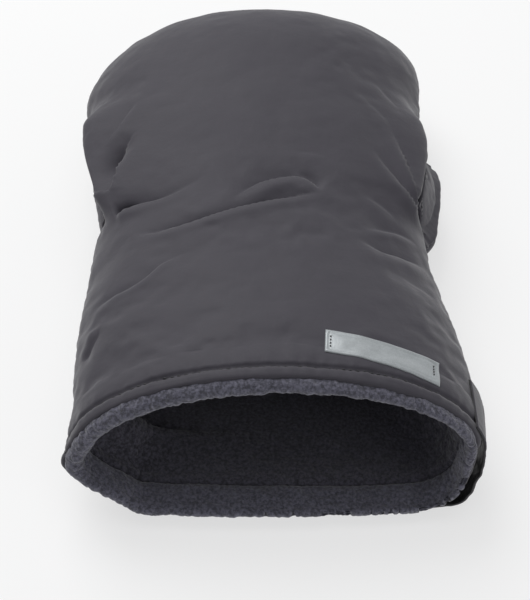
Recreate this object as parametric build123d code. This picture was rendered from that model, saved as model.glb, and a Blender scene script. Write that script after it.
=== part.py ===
"""Hand warmer muff for a pushchair handlebar: one padded, fleece-lined mitten that lies on its lower panel.

+X is the wearer's right, +Y runs from the cuff to the rounded far end, +Z is up. The muff is a nest of plugs:
each fabric layer is the space between two of them. The handlebar passes across it through a gap in each side
seam. A padded flap covers each gap: it is sewn on below and closes upwards onto a press stud. A loose strap
tightens the cuff from below. Units are millimetres.
"""

from build123d import *
from functools import lru_cache
from math import cos, radians, sin, tan
import os

# ---- Driving dimensions -------------------------------------------------------------------------------
LENGTH = 330.0  # cuff lip to far end
SEAM_Z = 40.0  # height of the side seams, where the muff is widest
FRONT_Y = -LENGTH / 2  # the cuff's lower lip
FRONT_TILT = 10.0  # degrees that the cuff's mouth leans back
LIP_START_Y = -90.0  # the bottom lifts off the ground in front of here
LIP_LIFT = 4.6  # degrees
FLAT_INSET = 2.0  # trims the rounded sides off what lies under the muff

# y, sideways drift of the middle, half width and half height of the outside, along the straight part of the muff
STATIONS = (
    (-200, 0, 105, 51),
    (-165, 0, 104, 50),
    (-115, -1, 102, 49),
    (-60, -5, 96, 45),
    (-8, -7, 92, 43),
    (40, -8, 99, 46),
    (85, -9, 102, 47),
    (100, -9, 102, 47),
)
CAP_ANGLES = (20, 38, 54, 68, 79)  # degrees round the far end's dome

# Fabric layers, from the outside in
SHELL_T = 1.0
WADDING_T = 7.0
LINING_T = 3.0
FACING_T = 3.0  # fleece rolled over the cuff's front edge
FACING_DEPTH = 35.0  # how far in the fleece facing reaches
HEM_SET_BACK = 1.5  # the shell's turned hem stops this far behind the fleece lip
HEM_STITCH_BACK = 13.0
THREAD_T = 0.5

# Openings for the handlebar, one in each side seam
SLOT_Y = 33.0
SLOT_HALF_LENGTH = 31.0
SLOT_HALF_GAP = 5.0
SLOT_FACING_T = 1.2
SLOT_FACING_PROUD = 0.6

# Flaps over the handlebar openings
FLAP_LENGTH = 70.0
FLAP_TOP = 22.0  # above the seam
FLAP_BOTTOM = 5.5  # below the seam
FLAP_CORNER_R = 12.0
FLAP_AIR = 1.0  # between the shell and the flap's lining
FLAP_CLOTH_T = 0.8
FLAP_WADDING_T = 2.0
FLAP_STITCH_IN = 3.0
HINGE_BELOW_FLAP = 3.0

# Press studs, in the flaps and the upper shell
STUD_ABOVE_SEAM = 15.5
CAP_R = 4.75
CAP_RISE = 1.6
CAP_AIR = 0.5  # between the flap's cloth and the cap's rim
SOCKET_R = 4.5
SOCKET_T = 2.4
SOCKET_BORE_R = 3.4
SOCKET_BORE_DEPTH = 1.8
EDGE_R = 0.4
STUD_BASE_T = 0.5
STUD_NECK_R = 1.8
STUD_HEAD_R = 2.2
STUD_HEAD_T = 1.0
STUD_HEIGHT = 2.3
POST_R = 1.0
POST_REACH = 1.2  # how far the post stands into the stud
FLANGE_R = 3.6
FLANGE_T = 0.8
FLANGE_AIR = 0.5
PATCH_R = 8.0
PATCH_T = 0.8

# Cuff strap
STRAP_WIDTH = 32.0
STRAP_SET_BACK = 4.0
STRAP_END_X = 40.0
STRAP_CLOTH_T = 0.7
STRAP_SIDE_AIR = 4.0
STRAP_TOP = 2.0  # below the strap's pivot
TAPE_T = 0.6
TAPE_GAP = 0.2
TAPE_MARGIN = 4.0
HOOK_LENGTH = 28.0
LOOP_LENGTH = 36.0
ANCHOR_GAP = 2.5
ANCHOR_HEIGHT = 8.0
TACK_LENGTH = 10.0
TACK_WIDTH = 2.0
TACK_IN = 3.0

# Reflective label
LABEL_LENGTH = 62.0
LABEL_WIDTH = 15.0
LABEL_T = 0.5
LABEL_X = 58.0
LABEL_Y = -121.0
LABEL_TURN = -1.0
LABEL_SLOPE = 20.0  # the shell falls away to the side by this much under the label
LABEL_STITCH_IN = 3.0

BIG = 600.0
FLAP_T = 2 * FLAP_CLOTH_T + FLAP_WADDING_T
WALL_T = SHELL_T + WADDING_T + LINING_T
DOME_Y = STATIONS[-1][0]
DOME_R = LENGTH / 2 - DOME_Y


# ---- Plugs and half spaces ----------------------------------------------------------------------------
def across(x, y, z=SEAM_Z):
    """A plane across the muff's length."""
    return Plane((x, y, z), x_dir=(1, 0, 0), z_dir=(0, 1, 0))


def above(height):
    """Everything above a level."""
    return Pos(0, 0, height) * Box(BIG, BIG, BIG, align=(Align.CENTER, Align.CENTER, Align.MIN))


def above_lip(height):
    """Everything above the ramp that lifts the cuff's lip."""
    slope = radians(LIP_LIFT)
    ramp = Plane((0, LIP_START_Y, height), x_dir=(1, 0, 0), z_dir=(0, sin(slope), cos(slope)))
    return ramp * Box(BIG, BIG, BIG, align=(Align.CENTER, Align.CENTER, Align.MIN))


def behind_mouth(set_back):
    """Everything behind the cuff's leaning mouth, moved back along Y."""
    lean = radians(FRONT_TILT)
    mouth = Plane((0, FRONT_Y + set_back, 0), x_dir=(1, 0, 0), z_dir=(0, cos(lean), -sin(lean)))
    return mouth * Box(BIG, BIG, BIG, align=(Align.CENTER, Align.CENTER, Align.MIN))


def band(start, end):
    """The slab of the cuff between two distances behind its mouth."""
    return behind_mouth(start) - behind_mouth(end)


@lru_cache(maxsize=None)
def plug(inset, bottom_inset=None):
    """The muff's outside moved inwards by inset, with its underside moved up by bottom_inset."""
    bottom = inset if bottom_inset is None else bottom_inset
    sections = [across(x, y) * Ellipse(w - inset, h - inset) for y, x, w, h in STATIONS]
    _, mid_x, dome_w, dome_h = STATIONS[-1]
    reach = DOME_R - inset
    for angle in CAP_ANGLES:
        shrink = cos(radians(angle))
        y = DOME_Y + reach * sin(radians(angle))
        sections.append(across(mid_x, y) * Ellipse((dome_w - inset) * shrink, (dome_h - inset) * shrink))
    body = loft(sections + [Vertex(mid_x, DOME_Y + reach, SEAM_Z)])
    return body & above(bottom) & above_lip(bottom)


def layer(outer, inner):
    """The space between two insets."""
    return plug(outer) - plug(inner)


def upper(shape):
    return shape & above(SEAM_Z)


def lower(shape):
    return shape - above(SEAM_Z)


def side_plane(side, y, z):
    """A plane that faces out of one side: its x runs along the muff and its z points outwards."""
    return Plane((0, y, z), x_dir=(0, side, 0), z_dir=(side, 0, 0))


def through_side(side, outline, y=SLOT_Y, z=SEAM_Z):
    """An outline, drawn with x along the muff and y up, pushed out through one side."""
    return extrude(side_plane(side, y, z) * outline, amount=BIG / 2)


def surface_frame(side, y, z, proud=0.0):
    """The plane that lies on one side's outside at a height, with its z pointing outwards."""
    line = Axis((0, y, z), (side, 0, 0))
    hits = plug(-proud).find_intersection_points(line)
    point, normal = max(hits, key=lambda hit: side * hit[0].X)
    if normal.X * side < 0:
        normal = -normal
    return Plane(point, x_dir=(0, 1, 0), z_dir=normal)


# ---- Muff body ----------------------------------------------------------------------------------------
def lens(grow=0.0):
    """The handlebar opening's outline."""
    half, gap = SLOT_HALF_LENGTH + grow, SLOT_HALF_GAP + grow
    edges = ThreePointArc((-half, 0), (0, gap), (half, 0)) + ThreePointArc((half, 0), (0, -gap), (-half, 0))
    return make_face(edges)


@lru_cache(maxsize=None)
def slots():
    """The cutters for both openings."""
    return [through_side(side, lens(SLOT_FACING_T)) for side in (1, -1)]


def slot_facing(side):
    """Bound edge that lines one handlebar opening."""
    tube = through_side(side, lens(SLOT_FACING_T)) - through_side(side, lens())
    wall = plug(-SLOT_FACING_PROUD) - plug(WALL_T + SLOT_FACING_PROUD)
    return tube & wall


def cut_all(shape, cutters):
    for cutter in cutters:
        shape = shape - cutter
    return shape


def body_layers():
    """The stitched-together panels of the muff: shell, wadding, lining and the cuff's fleece facing."""
    wadding_in = SHELL_T + WADDING_T
    facing = layer(SHELL_T, WALL_T) & band(0, FACING_T)
    facing = facing + (layer(wadding_in, WALL_T) & band(FACING_T, FACING_DEPTH))
    made = {
        "shell": layer(0, SHELL_T) & behind_mouth(HEM_SET_BACK),
        "wadding": layer(SHELL_T, wadding_in) & behind_mouth(FACING_T),
        "lining": layer(wadding_in, WALL_T) & behind_mouth(FACING_DEPTH),
        "cuff_facing": facing,
    }
    panels = {}
    for name, shape in made.items():
        shape = cut_all(shape, slots())
        panels["upper_" + name] = upper(shape)
        panels["lower_" + name] = lower(shape)
    return panels


def cuff_topstitch():
    """Thread line round the cuff's hem, on the shell, broken where the loop tape covers it."""
    return layer(-THREAD_T, 0) & band(HEM_STITCH_BACK, HEM_STITCH_BACK + THREAD_T) - loop_tape()


def label_outline(grow=0.0):
    """The label seen from above."""
    return Pos(LABEL_X, LABEL_Y, SEAM_Z) * Rot(0, 0, LABEL_TURN) * Rectangle(
        LABEL_LENGTH * cos(radians(LABEL_SLOPE)) + 2 * grow, LABEL_WIDTH + 2 * grow
    )


def label():
    """Woven reflective label on the upper shell, with no lettering."""
    return layer(-LABEL_T, 0) & extrude(label_outline(), amount=BIG)


def label_stitching():
    """Thread line round the label."""
    ring = extrude(label_outline(-LABEL_STITCH_IN), amount=BIG) - extrude(
        label_outline(-LABEL_STITCH_IN - THREAD_T), amount=BIG
    )
    return layer(-LABEL_T - THREAD_T, -LABEL_T) & ring


# ---- Press studs --------------------------------------------------------------------------------------
def stud_frame(side):
    return surface_frame(side, SLOT_Y, SEAM_Z + STUD_ABOVE_SEAM)


def pin(radius, low, high):
    """A round disc or post between two heights."""
    return Pos(0, 0, low) * Cylinder(radius, high - low, align=(Align.CENTER, Align.CENTER, Align.MIN))


def stud():
    """The male half: a base with a waisted head, drilled for its post."""
    neck_top = STUD_HEIGHT - STUD_HEAD_T
    body = pin(SOCKET_R, 0, STUD_BASE_T) + pin(STUD_NECK_R, 0, neck_top)
    head = Pos(0, 0, neck_top) * fillet(pin(STUD_HEAD_R, 0, STUD_HEAD_T).edges(), EDGE_R)
    return body + head - pin(POST_R, 0, POST_REACH)


def stud_post():
    """The post that rivets the stud on from inside the wadding."""
    flange_top = -SHELL_T - PATCH_T - FLANGE_AIR
    return pin(FLANGE_R, flange_top - FLANGE_T, flange_top) + pin(POST_R, flange_top, POST_REACH)


def stud_patch(frame):
    """Stiff cloth disc that spreads the stud's pull, between the shell and the wadding."""
    return layer(SHELL_T, SHELL_T + PATCH_T) & frame * pin(PATCH_R, -PATCH_R, PATCH_R)


def socket():
    """The female half: a cup whose mouth faces the stud."""
    low = FLAP_AIR
    ring = fillet(pin(SOCKET_R, low, low + SOCKET_T).edges(), EDGE_R)
    return ring - pin(SOCKET_BORE_R, low - 1, low + SOCKET_BORE_DEPTH) - pin(POST_R, low, low + SOCKET_T)


def cap():
    """The domed button on the flap's outside, with its post."""
    low = FLAP_AIR + FLAP_T + CAP_AIR
    sphere_r = (CAP_R**2 + CAP_RISE**2) / (2 * CAP_RISE)
    dome = Pos(0, 0, low + CAP_RISE - sphere_r) * Sphere(sphere_r) & pin(CAP_R, low, low + CAP_RISE)
    return dome + pin(POST_R, FLAP_AIR + SOCKET_BORE_DEPTH, low)


# ---- Flaps over the handlebar openings ----------------------------------------------------------------
def flap_outline(inset=0.0):
    """The flap seen from outside, with rounded upper corners."""
    top, bottom, half = FLAP_TOP - inset, FLAP_BOTTOM - inset, FLAP_LENGTH / 2 - inset
    blank = Pos(0, (top - bottom) / 2) * Rectangle(2 * half, top + bottom)
    return fillet(blank.vertices().group_by(Axis.Y)[-1], FLAP_CORNER_R - inset)


def flap_layers(side):
    """The padded flap's cloth, wadding, lining and edge stitching, with room for the press stud."""
    out = FLAP_AIR + FLAP_T
    shape = through_side(side, flap_outline())
    ring = through_side(side, flap_outline(FLAP_STITCH_IN))
    ring = ring - through_side(side, flap_outline(FLAP_STITCH_IN + THREAD_T))
    frame = stud_frame(side)
    pocket = frame * pin(SOCKET_R, -1, FLAP_AIR + SOCKET_T)
    hole = frame * pin(POST_R, 0, out + CAP_RISE)
    button = frame * pin(CAP_R + THREAD_T, FLAP_AIR, out + 2 * CAP_RISE)
    layers = {
        "shell": (out, out - FLAP_CLOTH_T),
        "wadding": (out - FLAP_CLOTH_T, FLAP_AIR + FLAP_CLOTH_T),
        "lining": (FLAP_AIR + FLAP_CLOTH_T, FLAP_AIR),
    }
    made = {name: cut_all(layer(-a, -b) & shape, [pocket, hole]) for name, (a, b) in layers.items()}
    made["topstitch"] = (layer(-out - THREAD_T, -out) & ring) - button
    return made


def hinge_line(side):
    """The seam that a flap turns about: a point on it and its direction, below the flap's bottom edge."""
    z = SEAM_Z - FLAP_BOTTOM - HINGE_BELOW_FLAP
    reach = FLAP_LENGTH / 2 - FLAP_STITCH_IN
    middle = FLAP_AIR + FLAP_T / 2
    start, end = (surface_frame(side, SLOT_Y + along, z, middle).origin for along in (-reach, reach))
    return (start + end) / 2, (end - start).normalized()


# ---- Cuff strap ---------------------------------------------------------------------------------------
def strap_space(side_near, side_far, bottom_near, bottom_far):
    """A layer round the cuff's lower right corner, looser at the side than below."""
    return plug(-side_far, -bottom_far) - plug(-side_near, -bottom_near)


def strap_outline(inset=0.0):
    """The strap seen from above: a round end under the muff, open to the right."""
    radius = STRAP_WIDTH / 2 - inset
    end = Pos(STRAP_END_X + STRAP_WIDTH / 2, FRONT_Y + STRAP_SET_BACK + STRAP_WIDTH / 2 + 1)
    run = Pos(LENGTH / 4, 0) * Rectangle(LENGTH / 2, LENGTH / 4)
    return extrude(end * (Circle(radius) + run), amount=SEAM_Z + BIG, both=True)


def strap_run():
    """The strap's length and width, from its round end to its pivot."""
    sleeve = band(STRAP_SET_BACK, STRAP_SET_BACK + STRAP_WIDTH)
    return strap_outline() & sleeve - above(SEAM_Z - STRAP_TOP)


def under_cuff(near, far):
    """A flat layer under the cuff, between two distances below it."""
    return plug(FLAT_INSET, -far) - plug(FLAT_INSET, -near)


def tape_patch(length):
    """The stretch of the cuff that a piece of tape takes up, from the strap's end outwards."""
    stretch = Pos(STRAP_END_X + length / 2, 0, 0) * Box(length, BIG, BIG)
    return stretch & band(STRAP_SET_BACK + TAPE_MARGIN, STRAP_SET_BACK + STRAP_WIDTH - TAPE_MARGIN)


def strap_layers():
    """The strap's cloth, its dark lining and the hook tape on its end."""
    side, below = STRAP_SIDE_AIR, 2 * TAPE_T + TAPE_GAP
    mid_side, mid_below = side + STRAP_CLOTH_T, below + STRAP_CLOTH_T
    out_side, out_below = mid_side + STRAP_CLOTH_T, mid_below + STRAP_CLOTH_T
    hooks = tape_patch(HOOK_LENGTH) & strap_outline(TAPE_MARGIN)
    return {
        "strap_lining": strap_space(side, mid_side, below, mid_below) & strap_run(),
        "strap_shell": strap_space(mid_side, out_side, mid_below, out_below) & strap_run(),
        "hook_tape": under_cuff(TAPE_T + TAPE_GAP, below) & hooks,
    }


def loop_tape():
    """The soft half of the strap's fastening, sewn under the lower shell."""
    return under_cuff(0, TAPE_T) & tape_patch(LOOP_LENGTH)


def strap_pivot():
    """A point on the line that the strap turns about, and its direction, along the side seam."""
    proud = STRAP_SIDE_AIR + STRAP_CLOTH_T
    front = FRONT_Y + STRAP_SET_BACK + SEAM_Z * tan(radians(FRONT_TILT))
    start, end = (surface_frame(1, front + along, SEAM_Z, proud).origin for along in (0, STRAP_WIDTH))
    return (start + end) / 2, (end - start).normalized()


def right_side(low, high):
    """The right half of the space between two heights above the seam."""
    half = Pos(BIG / 2, 0, 0) * Box(BIG, BIG, BIG)
    return half & (above(SEAM_Z + low) - above(SEAM_Z + high))


def strap_anchor():
    """Folded end of the strap, sewn into the right side seam."""
    space = layer(-STRAP_SIDE_AIR - 2 * STRAP_CLOTH_T, -THREAD_T)
    space = space & right_side(ANCHOR_GAP, ANCHOR_GAP + ANCHOR_HEIGHT)
    return space & band(STRAP_SET_BACK, STRAP_SET_BACK + STRAP_WIDTH)


def strap_bar_tacks():
    """Two dense rows of thread that hold the strap's end."""
    out = STRAP_SIDE_AIR + 2 * STRAP_CLOTH_T
    middle = ANCHOR_GAP + ANCHOR_HEIGHT / 2
    near, far = STRAP_SET_BACK + TACK_IN, STRAP_SET_BACK + STRAP_WIDTH - TACK_IN
    rows = band(near, near + TACK_LENGTH) + band(far - TACK_LENGTH, far)
    return layer(-out - THREAD_T, -out) & rows & right_side(middle - TACK_WIDTH / 2, middle + TACK_WIDTH / 2)


# ---- Assembly -----------------------------------------------------------------------------------------
def group(shapes):
    """Like pieces that share one node."""
    return Compound([solid for shape in shapes for solid in shape.solids()])


def build_nodes():
    nodes = body_layers()
    nodes["cuff_topstitch"] = cuff_topstitch()
    nodes["reflective_label"] = label()
    nodes["label_stitching"] = label_stitching()
    nodes["loop_tape"] = loop_tape()
    nodes["strap_anchor"] = strap_anchor()
    nodes["strap_bar_tacks"] = strap_bar_tacks()
    nodes.update(strap_layers())
    studs, posts, patches = [], [], []
    for side, name in ((1, "right"), (-1, "left")):
        frame = stud_frame(side)
        studs.append(frame * stud())
        posts.append(frame * stud_post())
        patches.append(stud_patch(frame) - posts[-1])
        nodes[name + "_slot_facing"] = slot_facing(side)
        for part, shape in flap_layers(side).items():
            nodes[f"{name}_flap_{part}"] = shape
        nodes[name + "_snap_cap"] = frame * cap()
        nodes[name + "_snap_socket"] = frame * socket()
    patches = [cut_all(patch, slots()) for patch in patches]
    nodes["upper_shell"] = cut_all(nodes["upper_shell"], posts)
    nodes["upper_wadding"] = cut_all(nodes["upper_wadding"], posts + patches)
    nodes["snap_studs"] = group(studs)
    nodes["snap_posts"] = group(posts)
    nodes["stud_patches"] = group(patches)
    return nodes


def centring(nodes):
    """The move that puts the whole muff's bottom centre at the origin."""
    boxes = [shape.bounding_box() for shape in nodes.values()]
    low = [min(getattr(box.min, axis) for box in boxes) for axis in "XYZ"]
    high = [max(getattr(box.max, axis) for box in boxes) for axis in "XYZ"]
    return Pos(-(low[0] + high[0]) / 2, -(low[1] + high[1]) / 2, -low[2])


nodes = build_nodes()
to_origin = centring(nodes)
nodes = {name: to_origin * shape for name, shape in nodes.items()}
os.makedirs("parts", exist_ok=True)
for name, shape in nodes.items():
    export_step(shape, f"parts/{name}.step")
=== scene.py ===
"""Looks of a pushchair hand muff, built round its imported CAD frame.

The outer panels, fleece, flaps, strap and label are new meshes that follow the CAD surfaces. Everything is in
metres in the row frame: +X is the wearer's right, +Y runs from the cuff to the far end, +Z is up.
"""

import math

import bpy
import numpy as np
from mathutils import Matrix, Vector, noise
from mathutils.bvhtree import BVHTree


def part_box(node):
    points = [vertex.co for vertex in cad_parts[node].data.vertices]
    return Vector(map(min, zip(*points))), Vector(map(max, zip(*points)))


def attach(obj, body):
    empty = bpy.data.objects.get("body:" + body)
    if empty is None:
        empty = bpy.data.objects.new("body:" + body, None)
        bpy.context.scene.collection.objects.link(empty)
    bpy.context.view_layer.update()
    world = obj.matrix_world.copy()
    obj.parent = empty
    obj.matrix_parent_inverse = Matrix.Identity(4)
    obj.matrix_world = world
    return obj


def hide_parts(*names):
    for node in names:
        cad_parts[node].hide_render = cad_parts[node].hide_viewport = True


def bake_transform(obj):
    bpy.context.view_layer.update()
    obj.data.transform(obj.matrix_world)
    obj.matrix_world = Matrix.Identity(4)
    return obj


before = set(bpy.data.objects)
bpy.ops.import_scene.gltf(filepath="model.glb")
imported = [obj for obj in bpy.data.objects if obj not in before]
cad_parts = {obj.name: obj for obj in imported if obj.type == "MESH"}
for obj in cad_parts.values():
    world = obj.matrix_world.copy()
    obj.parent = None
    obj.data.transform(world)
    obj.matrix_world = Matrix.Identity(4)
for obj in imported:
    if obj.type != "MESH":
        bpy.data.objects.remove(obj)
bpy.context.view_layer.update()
MM = 0.001
FAR = 0.3  # outside the muff, where rays start

# ---- Camera ----
VIEW_ELEVATION = math.radians(46.4)
VIEW_TURN = math.radians(0.7)
VIEW_DISTANCE = 1.041
VIEW_LENS = 109.3
VIEW_CENTRE = Vector((5.8 * MM, -0.6 * MM, 0))
VIEW_AIM = (-6.3 * MM, -10.3 * MM)  # how far right of and above that centre the camera points
FILM_WIDTH = 36


def add_camera():
    turn, rise = VIEW_TURN, VIEW_ELEVATION
    right = Vector((math.cos(turn), -math.sin(turn), 0))
    up = Vector((math.sin(rise) * math.sin(turn), math.sin(rise) * math.cos(turn), math.cos(rise)))
    back = right.cross(up)
    place = VIEW_CENTRE + back * VIEW_DISTANCE
    aim = VIEW_CENTRE + right * VIEW_AIM[0] + up * VIEW_AIM[1]
    back = (place - aim).normalized()
    right = up.cross(back).normalized()
    up = back.cross(right)
    camera = bpy.data.objects.new("camera", bpy.data.cameras.new("camera"))
    camera.data.lens = VIEW_LENS
    camera.data.sensor_width = FILM_WIDTH
    camera.matrix_world = Matrix((right, up, back)).transposed().to_4x4()
    camera.location = place
    bpy.context.scene.collection.objects.link(camera)
    bpy.context.scene.camera = camera


# ---- The muff's surface, measured from the CAD shell ----
SEAM_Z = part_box("upper_shell")[0].z
DOME_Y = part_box("upper_shell")[1].y - 65 * MM
DOME_R = 69.5 * MM  # the padding swells a little past the CAD shell
DOME_POWER = 2 / 2.6  # makes the far end blunter than an ellipse
DOME_RISE = 66 * MM  # stands for the dome's half height and half width where cloth is measured round it
HEAD_SLACK = 4.2 * MM  # the head isn't stuffed to its full width
HEAD_TURN = 5 * MM  # the head's end leans to the right
MOUTH_LEAN = math.tan(math.radians(10))
FRONT_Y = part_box("lower_cuff_facing")[0].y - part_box("lower_cuff_facing")[0].z * MOUTH_LEAN
MOUTH_Y = FRONT_Y + SEAM_Z * MOUTH_LEAN  # the mouth's place at the side seams
LEAN_FADE = 95 * MM
LIP_START_Y = -90.6 * MM
LIP_LIFT = math.tan(math.radians(4.6))
SLOT_Y = 32.4 * MM
SLOT_HALF_LENGTH = 31 * MM
SLOT_HALF_GAP = 6.2 * MM


def tree_of(*pieces):
    """A search tree over the faces of some mesh objects that stand in the row frame."""
    points, faces = [], []
    for piece in pieces:
        faces += [[v + len(points) for v in face.vertices] for face in piece.data.polygons]
        points += [v.co.copy() for v in piece.data.vertices]
    return BVHTree.FromPolygons(points, faces)


def measured_sections():
    """Rows of y, middle, half width and half height of the CAD shell, along its straight part."""
    tree = tree_of(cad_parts["upper_shell"])
    lift = 8 * MM  # just above the handlebar openings
    rows = []
    for y in np.arange(-145 * MM, DOME_Y, 5 * MM):
        right = tree.ray_cast((FAR, y, SEAM_Z + lift), (-1, 0, 0))[0].x
        left = tree.ray_cast((-FAR, y, SEAM_Z + lift), (1, 0, 0))[0].x
        middle = (right + left) / 2
        top = tree.ray_cast((middle, y, FAR), (0, 0, -1))[0].z - SEAM_Z
        rows.append((y, middle, (right - left) / 2 / math.sqrt(1 - (lift / top) ** 2), top))
    return np.array(rows)


def with_ends(rows):
    """The rows, carried straight on past both ends, so that smoothing doesn't bend the ends."""
    step = np.arange(1, 6)[:, None]
    before = rows[0] - (rows[1] - rows[0]) * step[::-1]
    after = rows[-1] + (rows[-1] - rows[-2]) * step
    return np.vstack((before, rows, after))


SECTIONS = with_ends(measured_sections())


def smooth(t):
    t = np.clip(t, 0, 1)
    return t * t * (3 - 2 * t)


def section(y):
    """Middle, half width and half height at y, smoothly. y is an array of any shape."""
    y = np.minimum(np.asarray(y, float), DOME_Y)
    near = np.exp(-(((y[..., None] - SECTIONS[:, 0]) / (6 * MM)) ** 2) / 2)
    near /= near.sum(-1, keepdims=True)
    slack = HEAD_SLACK * smooth((y - 45 * MM) / (35 * MM))
    return near @ SECTIONS[:, 1] - slack / 5, near @ SECTIONS[:, 2] - slack, near @ SECTIONS[:, 3]


def bump(distance, width):
    """1 at distance 0, falling away smoothly over about the width."""
    return np.exp(-((distance / width) ** 2))


def ground(y):
    """The height of the muff's underside: flat, then lifting towards the cuff's lip."""
    return np.maximum(LIP_START_Y - y, 0) * LIP_LIFT


def dome_arc():
    """Angles round the blunt dome, and the distance along the cloth to each."""
    turns = np.linspace(0, math.pi / 2, 1500)
    reach = DOME_R * np.sin(turns) ** DOME_POWER
    rise = DOME_RISE * np.maximum(np.cos(turns), 0) ** DOME_POWER
    return turns, np.concatenate(([0], np.cumsum(np.hypot(np.diff(reach), np.diff(rise)))))


DOME_TURNS, DOME_ARC = dome_arc()


# The mouth's sides: how far the cloth stands out, at what height and in how wide a band, in mm. The left side
# comes to a point and the right side is blunt.
POINTED = ((4.5, 34, 10), (-7.0, 16, 9))
BLUNT = ((-2.0, 34, 9), (3.0, 14, 9))
LIP_FADE = 22 * MM  # how far behind the mouth its shape fades away
LOWER_LIP = 3.5 * MM  # how far the bottom of the mouth sticks out forwards
FLOOR_SOFTNESS = 1.2 * MM


def surface(along, angle, inset=0.0):
    """Points on the muff. along is the distance behind the mouth, and past the straight part it goes round
    the dome. angle is 0 at the right seam and 90 degrees on top. inset moves the surface inwards."""
    y = MOUTH_Y + along
    turn = np.interp(y - DOME_Y, DOME_ARC, DOME_TURNS)
    middle, width, height = section(y)
    shrink = np.maximum(np.cos(turn), 0) ** DOME_POWER
    middle = middle + HEAD_TURN * smooth((y - 95 * MM) / (45 * MM))
    x = middle + (width - inset) * shrink * np.cos(angle)
    z = SEAM_Z + (height - inset) * shrink * np.sin(angle)
    y = np.where(turn > 0, DOME_Y + (DOME_R - inset) * np.sin(turn) ** DOME_POWER, y)
    y = y + (z - SEAM_Z) * MOUTH_LEAN * (1 - smooth(along / LEAN_FADE))
    lip = bump(np.maximum(along, 0), LIP_FADE)
    y = y - LOWER_LIP * lip * smooth(-1.5 * np.sin(angle))
    pointed, blunt = (sum(out * bump(z / MM - height, band) for out, height, band in bands)
                      for bands in (POINTED, BLUNT))
    x = x + np.where(np.cos(angle) < 0, pointed, blunt) * MM * lip * np.cos(angle)
    floor = ground(y) + inset
    z = floor + FLOOR_SOFTNESS * np.logaddexp(0, (z - floor) / FLOOR_SOFTNESS)
    return np.stack(np.broadcast_arrays(x, y, z), -1)


ALONG_END = DOME_Y + DOME_ARC[-1] - MOUTH_Y


def even_angles(count):
    """Angles from the right seam over the top to the left seam, evenly spaced along the cloth."""
    fine = np.linspace(0, math.pi, 2001)
    half_width, half_height = 100, 46
    step = np.hypot(half_width * np.sin(fine), half_height * np.cos(fine))
    length = np.concatenate(([0], np.cumsum((step[1:] + step[:-1]) / 2)))
    return np.interp(np.linspace(0, length[-1], count), length, fine)


def slot_lift(along):
    """How far the cloth's edge stands from the seam line, along a handlebar opening."""
    reach = np.clip(np.abs(MOUTH_Y + along - SLOT_Y) / SLOT_HALF_LENGTH, 0, 1)
    return SLOT_HALF_GAP * (1 - reach**2)


def opened(along, angles):
    """The grid of angles for the upper half, with both edges drawn back round the handlebar openings."""
    _, _, height = section(MOUTH_Y + along)
    lift = (slot_lift(along) / height)[:, None]
    near, far = angles[None, :], math.pi - angles[None, :]
    return near + lift * (1 - smooth(near / 0.7)) - lift * (1 - smooth(far / 0.7))


def normals_of(points):
    """Outward normals of a grid of points, rows along the muff and columns round it from right to left."""
    down, across = np.gradient(points, axis=0), np.gradient(points, axis=1)
    normal = np.cross(down, across)
    size = np.linalg.norm(normal, axis=-1, keepdims=True)
    return normal / np.maximum(size, 1e-12)


# ---- Noise and creases ----
def noise_at(points, size, seed, octaves):
    """Smooth noise, about -1 to 1, with features of the given size."""
    flat = points.reshape(-1, 3) / size + seed * 17.3
    values = [noise.fractal(Vector(p), 0.9, 2.1, octaves) for p in flat]
    return np.array(values).reshape(points.shape[:-1])


def cubic_weights(f):
    """How much each of four neighbours counts, at a share f of the way from the second to the third."""
    nearest = (1.5 * f**3 - 2.5 * f**2 + 1, f / 2 + 2 * f**2 - 1.5 * f**3)
    return (f**2 - f / 2 - f**3 / 2, *nearest, (f**3 - f**2) / 2)


def rounded_path(points, count):
    """A smooth path through a few points, as an array."""
    points = np.array(points, float)
    ends = np.vstack((2 * points[0] - points[1], points, 2 * points[-1] - points[-2]))
    spans = len(points) - 1
    path = []
    for t in np.linspace(0, spans - 1e-9, count):
        i, f = int(t), t - int(t)
        path.append(np.dot(cubic_weights(f), ends[i : i + 4]))
    return np.array(path)


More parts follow.
